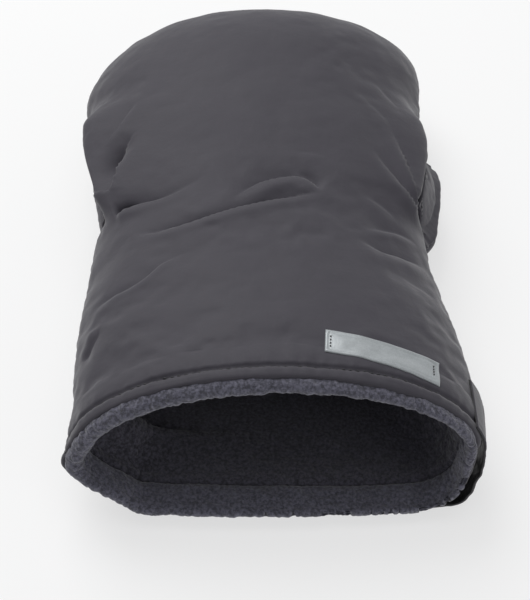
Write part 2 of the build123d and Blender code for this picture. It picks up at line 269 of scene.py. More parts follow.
# Creases in the upper panel: points in plan, depth, width of the valley and height of the ridge beside it,
# all in mm, then the share of the length over which each end fades. The valley is gentle on the left of the
# path's direction and sharp on its right, where the ridge is.
CREASES = (
    # the head's left lobe, folded in over the waist
    (((-87, -3), (-86, 4), (-83, 16), (-80, 30), (-75, 41), (-70, 49)), 7.5, 5.5, 1.0, 0.03, 0.55),
    (((-87, -3), (-86, 4), (-83, 16), (-80, 30), (-75, 41)), 6.0, 3.0, 0.2, 0.03, 0.4),
    (((-92, 34), (-88, 43), (-79, 58)), 1.2, 2.2, 0.5, 0.4, 0.4),
    (((-102, 50), (-98, 57), (-88, 75)), 1.0, 2.2, 0.4, 0.4, 0.4),
    (((-97, 74), (-90, 84)), 0.6, 2.2, 0.4, 0.5, 0.5),
    (((-84, 50), (-77, 62), (-72, 70)), 0.9, 2.4, 0.4, 0.3, 0.5),
    # across the waist from the left
    (((-83, -10), (-76, -8), (-68, -8), (-54, -8), (-41, -3), (-27, 5)), 3.4, 3.0, 1.2, 0.1, 0.7),
    (((-82, -11), (-76, -9), (-69, -8)), 3.5, 1.5, 0.2, 0.2, 0.6),
    (((-72, -30), (-56, -34), (-35, -31), (-14, -24), (8, -17), (32, -10)), 3.4, 3.0, 1.3, 0.3, 0.2),
    (((-20, -20), (-8, -8), (5, -1), (19, 0), (31, -9)), 3.0, 4.2, 1.2, 0.35, 0.12),
    (((18, 5), (25, -1), (30, -7)), 1.5, 1.7, 0.7, 0.4, 0.3),
    (((11, 19), (25, 18), (38, 16)), 0.6, 3.0, 0.3, 0.5, 0.5),
    # fanning out from the notch in front of the right flap
    (((57, 33), (66, 19), (76, 6), (86, -6)), 2.2, 3.2, 0.8, 0.6, 0.1),
    (((69, 54), (75, 38), (81, 15), (86, -3)), 1.8, 3.0, 0.7, 0.55, 0.1),
    (((52, -6), (63, -11), (73, -18)), 0.9, 3.2, 0.4, 0.4, 0.4),
    (((47, -41), (60, -47), (73, -46), (86, -45)), 2.8, 5.0, 1.2, 0.4, 0.35),
    (((50, -33), (62, -29), (74, -27), (85, -29)), 1.2, 2.6, 0.9, 0.4, 0.5),
    # soft ones on the forearm
    (((-90, -77), (-78, -74), (-65, -70), (-50, -58), (-29, -54)), 1.5, 2.2, 0.7, 0.2, 0.5),
    (((-84, -93), (-90, -104), (-94, -110)), 1.6, 2.8, 1.0, 0.3, 0.3),
    (((-30, -90), (0, -97), (30, -94)), 0.4, 6.0, 0.2, 0.5, 0.5),
    (((60, -62), (76, -66), (90, -70)), 0.7, 5.0, 0.4, 0.5, 0.3),
    # at the head's far right
    (((60, 92), (70, 80), (80, 66)), 0.6, 4.0, 0.3, 0.5, 0.4),
    (((52, 74), (64, 62), (74, 48)), 0.5, 4.0, 0.3, 0.5, 0.4),
)


CREASE_REACH = 25 * MM  # how far from its path a crease is worked out
CREASE_END = 4 * MM  # how fast it fades past its ends
CREASE_EDGE = 1.1 * MM  # how far the change from its gentle side to its sharp side takes
CREASE_ROUND = 0.7 * MM  # how round its bottom is
LEAN_MOST = 1.6  # mm that a ridge leans over its valley, at most
SLOT_CLEAR = 47 * MM  # creases keep this far from a handlebar opening's middle
FLAP_TOP = 47 * MM  # and start above a flap


def lifted(plan, points):
    """Plan points, raised to the grid's surface by a smooth curve of heights."""
    plan = np.array(plan, float) * MM
    flat = points.reshape(-1, 3)
    nearest = [np.argmin(((flat[:, :2] - p) ** 2).sum(-1)) for p in plan]
    heights = flat[nearest, 2]
    share = np.linspace(0, 1, len(plan))
    return np.column_stack((plan, np.polyval(np.polyfit(share, heights, 3), share)))


def creased(points):
    """The upper panel's grid with its creases pressed in. Each crease's ridge leans over its valley."""
    normals = normals_of(points)
    total = np.zeros(points.shape)
    for plan, depth, valley, ridge, fade_in, fade_out in CREASES:
        path = lifted(rounded_path(plan, 90), points)
        forward = np.gradient(path, axis=0)
        forward /= np.linalg.norm(forward, axis=1, keepdims=True)
        low, high = path.min(0) - CREASE_REACH, path.max(0) + CREASE_REACH
        near = np.all((points > low) & (points < high), axis=-1)
        chosen = points[near]
        gap = chosen[:, None, :] - path[None]
        nearest = np.argmin((gap**2).sum(-1), axis=1)
        offset = gap[np.arange(len(chosen)), nearest]
        ahead = forward[nearest]
        side = np.cross(ahead, offset)[:, 2]
        beyond = (offset * ahead).sum(-1)
        distance = np.sqrt(np.maximum((offset**2).sum(-1) - beyond**2, 0))
        signed = np.sign(side) * distance
        t = nearest / (len(path) - 1)
        fade = smooth(t / fade_in) * smooth((1 - t) / fade_out) * bump(beyond, CREASE_END)
        slope = (0.85 + 0.5 * np.tanh(signed / CREASE_EDGE)) * valley * MM
        sharp = np.exp(-(np.hypot(distance, CREASE_ROUND) - CREASE_ROUND) / slope)
        shape = -depth * sharp + ridge * bump(signed + 1.5 * valley * MM, 1.3 * valley * MM)
        total[near] += normals[near] * (shape * MM * fade)[:, None]
        lean = min(0.5 * depth, LEAN_MOST) * MM * fade * bump(signed + 1.3 * MM, 1.5 * MM)
        left = np.column_stack((-ahead[:, 1], ahead[:, 0], 0 * lean))
        total[near] += left * lean[:, None]
    beside_slot = smooth((SLOT_CLEAR - np.abs(points[..., 1] - SLOT_Y)) / (10 * MM))
    clear = 1 - beside_slot * (1 - smooth((points[..., 2] - FLAP_TOP) / (9 * MM)))
    return points + total * clear[..., None]


# ---- Cloth simulation ----
SIM_FRAMES = 26
SIM_STEP = 4.5 * MM  # the simulated grid's spacing
SIM_BLUR = 10  # passes of blur that leave the broad swelling, which isn't used
SIM_LIMIT = 2.2 * MM  # the most that a wrinkle moves the cloth
SIM_SHARE = 0.62  # the wadding holds the cloth smoother than it settles on its own
TIP_ROWS = 8  # the last rows, which close to a point, are left out
CLOTH_SETTINGS = {
    "quality": 6,
    "mass": 0.15,
    "tension_stiffness": 25,
    "compression_stiffness": 25,
    "shear_stiffness": 12,
    "bending_stiffness": 0.35,
    "shrink_min": -0.02,  # below 0, the cloth is too large
    "use_pressure": True,
    "uniform_pressure_force": 1.5,
}


def spread(count, picked):
    """A matrix that carries values from the picked rows of a grid to all of its rows, smoothly."""
    place = np.interp(np.arange(count), picked, np.arange(len(picked)))
    weights = np.zeros((count, len(picked)))
    for row, value in enumerate(place):
        i = min(int(value), len(picked) - 2)
        for k, weight in enumerate(cubic_weights(value - i)):
            weights[row, min(max(i - 1 + k, 0), len(picked) - 1)] += weight
    return weights


def softened(grid, times):
    """The grid, blurred along both of its directions."""
    for _ in range(times):
        padded = np.pad(grid, ((1, 1), (1, 1), (0, 0)), "edge")
        grid = (padded[:-2, 1:-1] + padded[2:, 1:-1] + padded[1:-1, :-2] + padded[1:-1, 2:] + 2 * grid) / 6
    return grid


def simulated(points):
    """Cloth simulation of one outer panel: cut a little too large, sewn down all round and pushed out by its
    wadding. Gives the wrinkles it makes, as a movement of each point."""
    rows, columns = points.shape[:2]
    length = np.linalg.norm(np.diff(points[:, columns // 2], axis=0), axis=1).sum()
    width = np.linalg.norm(np.diff(points[rows // 3], axis=0), axis=1).sum()
    row_picks = np.unique(np.linspace(0, rows - TIP_ROWS, int(length / SIM_STEP)).astype(int))
    column_picks = np.unique(np.linspace(0, columns - 1, int(width / SIM_STEP)).astype(int))
    coarse = points[np.ix_(row_picks, column_picks)]
    cloth = new_piece("cloth", coarse, grid_faces(*coarse.shape[:2], flip=True))
    pinned = np.zeros(coarse.shape[:2], bool)
    pinned[:3] = pinned[-2:] = pinned[:, :1] = pinned[:, -1:] = True
    group = cloth.vertex_groups.new(name="sewn")
    group.add([int(i) for i in np.where(pinned.ravel())[0]], 1.0, "REPLACE")
    modifier = cloth.modifiers.new("cloth", "CLOTH")
    for key, value in CLOTH_SETTINGS.items():
        setattr(modifier.settings, key, value)
    modifier.settings.vertex_group_mass = group.name
    modifier.settings.effector_weights.gravity = 0
    modifier.collision_settings.use_collision = False
    modifier.collision_settings.use_self_collision = False
    scene = bpy.context.scene
    for frame_number in range(1, SIM_FRAMES + 1):
        scene.frame_set(frame_number)
    shown = cloth.evaluated_get(bpy.context.evaluated_depsgraph_get()).data
    settled = np.zeros(len(shown.vertices) * 3)
    shown.vertices.foreach_get("co", settled)
    bpy.data.objects.remove(cloth)
    scene.frame_set(1)
    moved = settled.reshape(coarse.shape) - coarse
    wrinkles = moved - softened(moved, SIM_BLUR)
    size = np.linalg.norm(wrinkles, axis=-1, keepdims=True)
    wrinkles *= SIM_LIMIT / np.maximum(size + SIM_LIMIT, 1e-9)
    return np.einsum("ri,cj,ijk->rck", spread(rows, row_picks), spread(columns, column_picks), wrinkles)


# ---- Meshes ----
def new_piece(name, points, faces, body=None, replaces=(), slot=None, smooth_faces=True):
    """A mesh object in the row frame. Faces index into points."""
    mesh = bpy.data.meshes.new(name)
    mesh.from_pydata([tuple(p) for p in np.asarray(points).reshape(-1, 3)], [], faces)
    mesh.update()
    if smooth_faces:
        mesh.polygons.foreach_set("use_smooth", np.ones(len(mesh.polygons), bool))
    piece = bpy.data.objects.new(name, mesh)
    bpy.context.scene.collection.objects.link(piece)
    if body:
        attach(piece, body)
    if replaces:
        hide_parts(*replaces)
    return piece


def grid_faces(rows, columns, wrap=False, flip=False, start=0):
    """Quads of a grid stored row by row."""
    faces = []
    for i in range(rows - 1):
        for j in range(columns if wrap else columns - 1):
            k = (j + 1) % columns
            face = (i * columns + j, i * columns + k, (i + 1) * columns + k, (i + 1) * columns + j)
            faces.append(tuple(v + start for v in (reversed(face) if flip else face)))
    return faces


def add_uv(piece, uv):
    """Cloth coordinates in metres, one pair for each point."""
    layer = piece.data.uv_layers.new(name="cloth")
    corners = np.zeros(len(piece.data.loops), np.int32)
    piece.data.loops.foreach_get("vertex_index", corners)
    layer.data.foreach_set("uv", np.asarray(uv, np.float32).reshape(-1, 2)[corners].ravel())


def add_thickness(piece, thickness):
    solid = piece.modifiers.new("thickness", "SOLIDIFY")
    solid.thickness = thickness
    solid.offset = -1
    solid.use_rim = True


def rim_loop(rows, columns):
    """The border of a grid of points, as indices in order."""
    rim = list(range(columns)) + [i * columns + columns - 1 for i in range(1, rows)]
    rim += [(rows - 1) * columns + j for j in reversed(range(columns - 1))]
    return rim + [i * columns for i in reversed(range(1, rows - 1))]


def closed_sheet(name, outer, inner, flip=False, **ties):
    """A thin solid between two grids of points of one shape, closed round its border. The ties go on to
    new_piece."""
    rows, columns = outer.shape[:2]
    count = rows * columns
    faces = grid_faces(rows, columns, flip=flip) + grid_faces(rows, columns, flip=not flip, start=count)
    rim = rim_loop(rows, columns)
    for i, j in zip(rim, rim[1:] + rim[:1]):
        face = (j, i, i + count, j + count)
        faces.append(face[::-1] if flip else face)
    return new_piece(name, np.stack((outer, inner)), faces, **ties)


# ---- Outer panels ----
PANEL_COLUMNS = 250
HEM_STITCH = 9 * MM
# The hem's fold: distance behind the mouth and inset, in mm.
HEM_FOLD = ((7.0, 3.2), (4.5, 3.1), (2.9, 2.5), (2.1, 1.5), (2.2, 0.7), (2.9, 0.15))


def panel_rows():
    """Distance behind the mouth and inset of each row of an outer panel, from the hem's fold to the tip."""
    fold = [(along * MM, inset * MM) for along, inset in HEM_FOLD]
    fine = [(along, 0) for along in np.arange(3.8 * MM, 24 * MM, 0.8 * MM)]
    rest = [(along, 0) for along in np.arange(24 * MM, ALONG_END - 2 * MM, 1.25 * MM)]
    return np.array(fold + fine + rest + [(ALONG_END, 0)])


def hem_offset(along, points):
    """The padded hem, its stitched ditch with puckers, and the cloth that swells up behind it."""
    pucker = noise_at(points * np.array((1, 0.15, 1)), 4.2 * MM, 3.0, 1)
    wide = noise_at(points * np.array((1, 0.2, 1)), 16 * MM, 5.0, 2)
    from_stitch = along - HEM_STITCH
    ticks = noise_at(points * np.array((1, 0.1, 1)), 2.6 * MM, 13.0, 1)
    ditch = -1.2 * bump(from_stitch, 1.0 * MM) * (1 + 0.5 * pucker)
    gathers = 0.65 * pucker * bump(from_stitch, 5 * MM) + 0.45 * ticks * bump(from_stitch, 2.5 * MM)
    hem = (0.9 + 0.5 * wide) * bump(along - 5.5 * MM, 3.0 * MM)
    swell = (1.0 + 0.4 * wide) * bump(from_stitch - 7 * MM, 8 * MM) * smooth(from_stitch / (2.5 * MM))
    return (ditch + gathers + hem + swell) * MM


def seam_offset(distance, points):
    """The side seam's groove, with short puckers running away from it."""
    pucker = noise_at(points * np.array((0.2, 1, 0.2)), 5.5 * MM, 8.0, 2)
    groove = -1.9 * bump(distance, 1.5 * MM) - 0.9 * bump(distance, 4.5 * MM)
    return (groove + 0.75 * pucker * bump(distance, 11 * MM)) * MM


# How the padding differs from a plain oval round the flaps: height above the seam, height of the band it
# fills, and how far it goes out there, all in mm. 1 is the right side and -1 the left.
FLANKS = {
    1: ((24, 7.5, 9.5), (2, 10, -8.0), (-20, 8.5, 15.0)),
    -1: ((25, 7.0, 13.0), (0, 13, -15.0)),
}


def flank_shift(points, inward_only=False):
    """How far sideways the muff's sides go round a flap: out above and below it, and in beneath it."""
    y, up = points[..., 1], (points[..., 2] - SEAM_Z) / MM
    window = smooth((54 * MM - np.abs(y - SLOT_Y - 4 * MM)) / (28 * MM))
    total = np.zeros(y.shape)
    right = points[..., 0] > section(y)[0]
    for side, bands in FLANKS.items():
        for height, band, out in bands:
            if out < 0 or not inward_only:
                total += np.where(right == (side > 0), side * out * bump(up - height, band), 0)
    return total * window * MM


def shaped(points, along, upper):
    """The base grid of one outer panel, moved to its padded, wrinkled and creased shape."""
    steps = np.linalg.norm(np.diff(points, axis=1), axis=-1)
    arc = np.concatenate((np.zeros((len(points), 1)), np.cumsum(steps, axis=1)), axis=1)
    from_seam = np.minimum(arc, arc[:, -1:] - arc)
    y = points[..., 1]
    calm = 1 - bump(np.maximum(np.abs(y - SLOT_Y) - 34 * MM, 0), 6 * MM) * bump(from_seam, 16 * MM)
    tip = smooth((ALONG_END - along) / (25 * MM))
    resting = 1 if upper else smooth((points[..., 2] - ground(y)) / (7 * MM))
    waves = 1.0 * noise_at(points, 46 * MM, 1.0, 2) + 0.35 * noise_at(points, 17 * MM, 2.0, 2)
    offset = waves * MM * tip * calm
    offset += seam_offset(from_seam, points) * tip
    offset += hem_offset(along, points)
    offset = np.where(offset > 0, offset * resting, offset)
    fold = along <= HEM_FOLD[-1][0] * MM
    offset = np.where(fold, offset[len(HEM_FOLD)][None, :], offset)
    moved = points + normals_of(points) * offset[..., None]
    moved[..., 0] += flank_shift(points)
    free = smooth((along - HEM_STITCH) / (20 * MM)) * smooth(from_seam / (14 * MM)) * tip * calm * resting
    moved += SIM_SHARE * simulated(moved) * free[..., None]
    return creased(moved) if upper else moved


def half_angles(rows, columns, upper):
    """The grid of angles for one half of the muff. Its columns run so that both halves face outwards."""
    angles = opened(rows[:, 0], even_angles(columns))
    return angles if upper else -angles[:, ::-1]


def outer_panel(name, upper):
    rows = panel_rows()
    along, inset = rows[:, :1], rows[:, 1:]
    base = surface(along, half_angles(rows, PANEL_COLUMNS, upper), inset)
    points = shaped(base, np.broadcast_to(along, base.shape[:2]), upper)
    piece = new_piece(name, points, grid_faces(*points.shape[:2], flip=True))
    steps = np.linalg.norm(np.diff(base, axis=1), axis=-1).mean(0)
    arc = np.concatenate(([0], np.cumsum(steps)))
    uv = np.stack(np.broadcast_arrays(arc[None, :], along), -1)
    add_uv(piece, uv)
    return piece


FLEECE_COLUMNS = 360
RIM_START = 3.2 * MM  # how far in from the outside the fleece comes out from under the hem
DEEP_INSET = 11.6 * MM  # how far in it lies deep inside
FACING_SEAM = 14 * MM  # how far behind the mouth the facing meets the lining


def fleece_rows():
    """Pairs for each row of the fleece: distance behind the mouth, and share of the way round the rim."""
    rows = [(8 * MM, 0.0), (5 * MM, 0.0), (3 * MM, 0.0)]
    rows += [((1.6 - 3.0 * math.sin(t)) * MM, (1 - math.cos(t)) / 2) for t in np.linspace(0, math.pi, 16)]
    rows += [(along, 1.0) for along in np.arange(2.4 * MM, 46 * MM, 0.9 * MM)]
    rows += [(along, 1.0) for along in np.arange(47 * MM, ALONG_END - 4 * MM, 3 * MM)]
    return np.array(rows + [(ALONG_END, 1.0)])


def fleece_inset(along, share, angles):
    """How far the fleece lies in from the muff's outside. The wall is thinner at the lip, and thinnest at the
    bottom, where it is pressed flat."""
    low = smooth(-np.sin(angles) * 1.6 + 0.1)
    lip = (7.2 + np.where(np.cos(angles) < 0, -1.8, -2.2) * np.cos(angles) - 2.6 * low) * MM
    inside = lip + (DEEP_INSET - lip) * smooth(along / (60 * MM))
    return RIM_START + (inside - RIM_START) * share


def fleece(name, upper):
    """One half of the brushed fleece: the rim, the facing with its seam, and the lining. Also tells which of
    its faces are the lining's, which build_muff paints darker as painted shade for the muff's dark inside."""
    rows = fleece_rows()
    along, share = rows[:, :1], rows[:, 1:]
    angles = half_angles(rows, FLEECE_COLUMNS, upper)
    base = surface(along, angles, fleece_inset(along, share, angles))
    normal = -normals_of(base)
    tufts = noise_at(base, 2.5 * MM, 4.0, 2)
    clumps = noise_at(base, 7 * MM, 6.0, 2)
    soft = noise_at(base, 38 * MM, 7.0, 2)
    front = smooth((75 * MM - along) / (40 * MM))
    offset = (0.6 * tufts + 0.55 * clumps) * MM * front + 1.2 * soft * MM * smooth(along / (30 * MM))
    offset -= 2.6 * bump(along - FACING_SEAM, 1.3 * MM) * MM
    offset += 0.9 * bump(along - FACING_SEAM + 6 * MM, 5 * MM) * MM
    # the lining bunches inwards on the left, behind the facing
    left = bump(np.abs(angles) - 2.7, 0.5)
    folded = smooth((along - 17 * MM) / (20 * MM)) * (1 - smooth((along - 38 * MM) / (4 * MM)))
    offset += left * 13 * MM * folded
    offset += left * 5 * MM * bump(along - 62 * MM, 9 * MM)
    right = bump(np.abs(angles) - 0.55, 0.22)
    offset -= right * 3 * MM * bump(along - 30 * MM, 14 * MM)
    points = base + normal * offset[..., None]
    points[..., 0] += flank_shift(base, inward_only=True)
    piece = new_piece(name, points, grid_faces(*points.shape[:2], flip=True))
    is_shaded_lining = (along[:-1, 0] >= FACING_SEAM) & (share[:-1, 0] > 0.9)
    return piece, np.repeat(is_shaded_lining, points.shape[1] - 1)


PILE_COUNT = 16000
PILE_LENGTH = (0.6 * MM, 1.25 * MM)
PILE_THICK = 0.10 * MM
PILE_DEPTH = 44 * MM  # how far behind the mouth the fibres go


def face_values(piece, what):
    """The centres or normals of a piece's faces."""
    values = np.zeros(len(piece.data.polygons) * 3, np.float32)
    piece.data.polygons.foreach_get(what, values)
    return values.reshape(-1, 3)


def fleece_pile(name, pieces, count):
    """Short curled fibres standing on the fleece's rim and facing, in tufts."""
    rng = np.random.default_rng(11)
    centres = np.vstack([face_values(piece, "center") for piece in pieces])
    normals = np.vstack([face_values(piece, "normal") for piece in pieces])
    behind = centres[:, 1] - MOUTH_Y - (centres[:, 2] - SEAM_Z) * MOUTH_LEAN
    use = np.where((behind < PILE_DEPTH) & (behind > -3 * MM))[0]
    picked = rng.choice(use, count)
    root, out = centres[picked], normals[picked]
    lean = rng.normal(0, 1, (count, 3))
    lean -= (lean * out).sum(1, keepdims=True) * out
    lean /= np.linalg.norm(lean, axis=1, keepdims=True)
    across = np.cross(out, lean)
    length = rng.uniform(*PILE_LENGTH, (count, 1))
    middle = root + out * length * 0.6 + lean * length * 0.35
    points, faces = [], []
    for centre, thick in ((root - out * 0.3 * MM, PILE_THICK), (middle, 0.8 * PILE_THICK)):
        for k in range(3):
            turn = 2 * math.pi * k / 3
            points.append(centre + (lean * math.cos(turn) + across * math.sin(turn)) * thick)
    points.append(root + out * length * 0.75 + lean * length * 0.95)
    points = np.stack(points, 1)
    for i in range(count):
        b = 7 * i
        faces.append((b + 2, b + 1, b))
        for k in range(3):
            n = (k + 1) % 3
            faces.append((b + k, b + n, b + 3 + n, b + 3 + k))
            faces.append((b + 3 + k, b + 3 + n, b + 6))
    return new_piece(name, points, faces, "muff")


# ---- Stitches ----
def stitch_mesh(starts, ends, normals, radius):
    """Short threads that lie on the cloth and dive into it at both ends."""
    rings, sides = 7, 6
    points, faces = [], []
    for start, end, normal in zip(starts, ends, normals):
        along = (end - start).normalized()
        across = along.cross(normal).normalized()
        base = len(points)
        for r in range(rings):
            t = r / (rings - 1)
            arch = math.sin(math.pi * t)
            swell = radius * (0.35 + 0.65 * arch**0.5)
            centre = start.lerp(end, t) + normal * (radius * (1.5 * arch - 0.9))
            for s in range(sides):
                turn = 2 * math.pi * s / sides
                points.append(centre + (across * math.cos(turn) + normal * math.sin(turn)) * swell)
        faces += grid_faces(rings, sides, wrap=True, start=base)
        faces.append(tuple(base + s for s in reversed(range(sides))))
        faces.append(tuple(base + (rings - 1) * sides + s for s in range(sides)))
    return points, faces


def stitch_line(name, tree, path, length, gap, radius, body, replaces=(), slot="thread"):
    """Stitches of one length along a path, laid on the cloth that the tree holds."""
    path = np.asarray(path, float)
    travelled = np.concatenate(([0], np.cumsum(np.linalg.norm(np.diff(path, axis=0), axis=1))))
    starts, ends, normals = [], [], []
    for begin in np.arange(gap, travelled[-1] - length, length + gap):
        pair = []
        for at in (begin, begin + length):
            point = Vector([np.interp(at, travelled, path[:, k]) for k in range(3)])
            pair.append(tree.find_nearest(point)[:2])
        starts.append(pair[0][0])
        ends.append(pair[1][0])
        normals.append((pair[0][1] + pair[1][1]).normalized())
    points, faces = stitch_mesh(starts, ends, normals, radius)
    return new_piece(name, points, faces, body, replaces, slot)


# ---- Side of the muff: flaps, slots ----
def side_surface(side, y, z, proud):
    """Points a little out from one side of the muff, at a given y and height. Arrays of one shape."""
    middle, width, height = section(y)
    sine = np.clip((z - SEAM_Z) / height, -0.98, 0.98)
    cosine = np.sqrt(1 - sine**2)
    points = np.stack((middle + side * width * cosine, y, z), -1)
    step = 1 * MM
    ahead, behind = section(y + step), section(y - step)
    slope = ((ahead[0] + side * ahead[1] * cosine) - (behind[0] + side * behind[1] * cosine)) / (2 * step)
    normal = np.stack((side * cosine / width, -slope * cosine / width, sine / height), -1)
    normal /= np.linalg.norm(normal, axis=-1, keepdims=True)
    return points + normal * proud


FLAP_HALF_LENGTH = 34 * MM
FLAP_CORNER = 10 * MM
FLAP_T = 3.6 * MM
FLAP_BOW = 9 * MM  # how far its two ends bend in
STUD_UP = 10 * MM  # the press stud's height above the seam
STUD_Y = SLOT_Y + 3 * MM
# Each flap's outer face: height above the seam, and how far out it is from the muff's widest line, in mm.
FLAP_PROFILES = {
    1: ((14.5, -3.4), (12, -2.6), (6, -0.8), (0, 1.2), (-5, 3.0), (-8.5, 3.4), (-11, 2.6), (-13, 1.0)),
    -1: ((14.5, -5.5), (12, -6.5), (6, -8.5), (0, -10), (-5, -10), (-8.5, -9.5), (-11, -9.0), (-13, -9.5)),
}


def curve_through(pairs, at):
    """Smooth interpolation through a few pairs, whose first values fall."""
    path = rounded_path(pairs, 200)
    return np.interp(at, path[::-1, 0], path[::-1, 1])


def out_from_middle(side, y, out):
    """x of points a given distance out from the muff's widest line."""
    middle, width, _ = section(y)
    return middle + side * (width + out)


def panel_reach(trees, side, y, z):
    """How far out from the widest line the outer panels lie, at each y and z. -20 mm where there is none."""
    reach = np.full(y.shape, -20 * MM)
    middle, width, _ = section(y)
    for index in np.ndindex(y.shape):
        for tree in trees:
            hit = tree.ray_cast((side * FAR, y[index], z[index]), (-side, 0, 0))[0]
            if hit:
                reach[index] = max(reach[index], side * (hit.x - middle[index]) - width[index])
    return reach


def flap(side, name, trees):
    """A padded flap that closes upwards over a handlebar opening. Its lower edge stays sewn to the muff."""
    rows, columns = 48, 110
    profile = FLAP_PROFILES[side]
    top, low = profile[0][0] * MM, profile[-1][0] * MM
    b = np.linspace(low, top, rows)[:, None]
    a = np.linspace(-1, 1, columns)[None, :]
    corner = np.clip(b - (top - FLAP_CORNER), 0, FLAP_CORNER)
    half = FLAP_HALF_LENGTH - FLAP_CORNER + np.sqrt(np.maximum(FLAP_CORNER**2 - corner**2, 0))
    y = SLOT_Y + a * half
    z = np.broadcast_to(SEAM_Z + b, y.shape)
    edge = np.minimum(half - np.abs(a * half), top - b)
    spot = np.stack((np.zeros(y.shape), y, z), -1)
    waves = 0.35 * noise_at(spot, 9 * MM, 9.0 + side, 2) + 0.2 * noise_at(spot, 3.5 * MM, 12.0, 1)
    from_stud = np.hypot(y - STUD_Y, b - STUD_UP)
    puffed = 1.3 + 2.3 * (1 - bump(edge, 4 * MM))
    stitched = 0.5 * bump(edge, 0.9 * MM) - 0.8 * bump(edge - 3 * MM, 0.8 * MM)
    dimple = 1.7 * bump(from_stud, 4.5 * MM)
    thick = np.maximum(puffed + stitched + waves * smooth(edge / (2 * MM)) - dimple, 0.9) * MM
    inner = curve_through(profile, b / MM) * MM - FLAP_T - FLAP_BOW * np.abs(a) ** 2.2
    inner = np.maximum(inner, panel_reach(trees, side, y, z) + 0.5 * MM)
    outside, inside = (np.stack((out_from_middle(side, y, out), y, z), -1) for out in (inner + thick, inner))
    piece = closed_sheet(name, outside, inside, flip=side < 0)
    plain = np.stack((y, np.broadcast_to(b, y.shape)), -1).reshape(-1, 2)
    add_uv(piece, np.vstack((plain, plain)))
    return piece


def flap_path(side, inset):
    """The line round a flap, a set distance in from its free edges."""
    profile = FLAP_PROFILES[side]
    straight = profile[0][0] * MM - FLAP_CORNER
    reach, radius = FLAP_HALF_LENGTH - inset, FLAP_CORNER - inset
    near = [(-reach, b) for b in np.linspace(-6 * MM, straight, 8)[:-1]]
    turn = np.linspace(0, math.pi / 2, 9)
    near += [(-reach + radius * (1 - math.cos(t)), straight + radius * math.sin(t)) for t in turn]
    plan = np.array(near + [(-a, b) for a, b in reversed(near)])
    y = SLOT_Y + plan[:, 0]
    x = out_from_middle(side, y, curve_through(profile, plan[:, 1] / MM) * MM)
    return np.column_stack((x, y, SEAM_Z + plan[:, 1]))


def turned(name, centre, axis, profile, body, replaces, material):
    """A round metal part: pairs of radius and height along its axis, in mm."""
    sides = 28
    axis = Vector(axis).normalized()
    across = axis.orthogonal().normalized()
    third = axis.cross(across)
    points = []
    for radius, height in profile:
        for k in range(sides):
            turn = 2 * math.pi * k / sides
            ring = across * math.cos(turn) + third * math.sin(turn)
            points.append(Vector(centre) + ring * radius * MM + axis * height * MM)
    faces = grid_faces(len(profile), sides, wrap=True)
    faces += [tuple(reversed(range(sides))), tuple((len(profile) - 1) * sides + k for k in range(sides))]
    piece = new_piece(name, points, faces, body, replaces, "snap_metal" if "cap" not in name else "snap_cap")
    paint(piece, material)
    return piece


# The binding's path through the wall: distance from the opening and from the muff's outside, in mm.
BINDING_PROFILE = ((3.0, 0.3), (2.2, 1.2), (1.1, 1.6), (0.1, 1.1), (-0.2, 0.0), (-0.2, -4.0), (-0.2, -8.0),
                   (0.0, -11.3), (0.8, -12.5), (2.0, -12.9), (3.0, -12.4))


def slot_binding(side, name):
    """Bound edge round a handlebar opening: an outer roll, the way through the wall and an inner roll."""
    count = 120
    turn = np.linspace(0, 2 * math.pi, count, endpoint=False)
    t = np.cos(turn)
    plan_y = SLOT_HALF_LENGTH * t
    plan_z = np.sign(np.sin(turn)) * SLOT_HALF_GAP * 0.87 * (1 - t**2)
    out_y, out_z = 0.35 * t, np.sign(np.sin(turn)) * (1 - 0.4 * np.abs(t))
    rings = []
    for away, proud in BINDING_PROFILE:
        y = SLOT_Y + plan_y + out_y * away * MM
        z = SEAM_Z + plan_z + out_z * away * MM
        rings.append(side_surface(side, y, z, proud * MM))
    points = np.array(rings)
    points[..., 0] += flank_shift(points)
    piece = new_piece(name, points, grid_faces(len(rings), count, wrap=True, flip=side > 0), "muff",
                      [name.replace("binding", "facing")], "binding")
    add_thickness(piece, 0.7 * MM)
    return piece


# ---- Label ----
LABEL_CENTRE = (56.5 * MM, -128.5 * MM)
LABEL_LENGTH = 62 * MM
LABEL_WIDTH = 15 * MM
LABEL_SEAM = 3 * MM  # from its edges to its stitches


def label_spot(tree, a, b):
    """A place on the muff under the label, from its own coordinates."""
    x = LABEL_CENTRE[0] + 0.91 * a + 0.06 * b
    y = LABEL_CENTRE[1] + 1.06 * b * (1 + 2 * a) - 0.13 * a
    return tree.ray_cast((x, y, FAR), (0, 0, -1))[0]


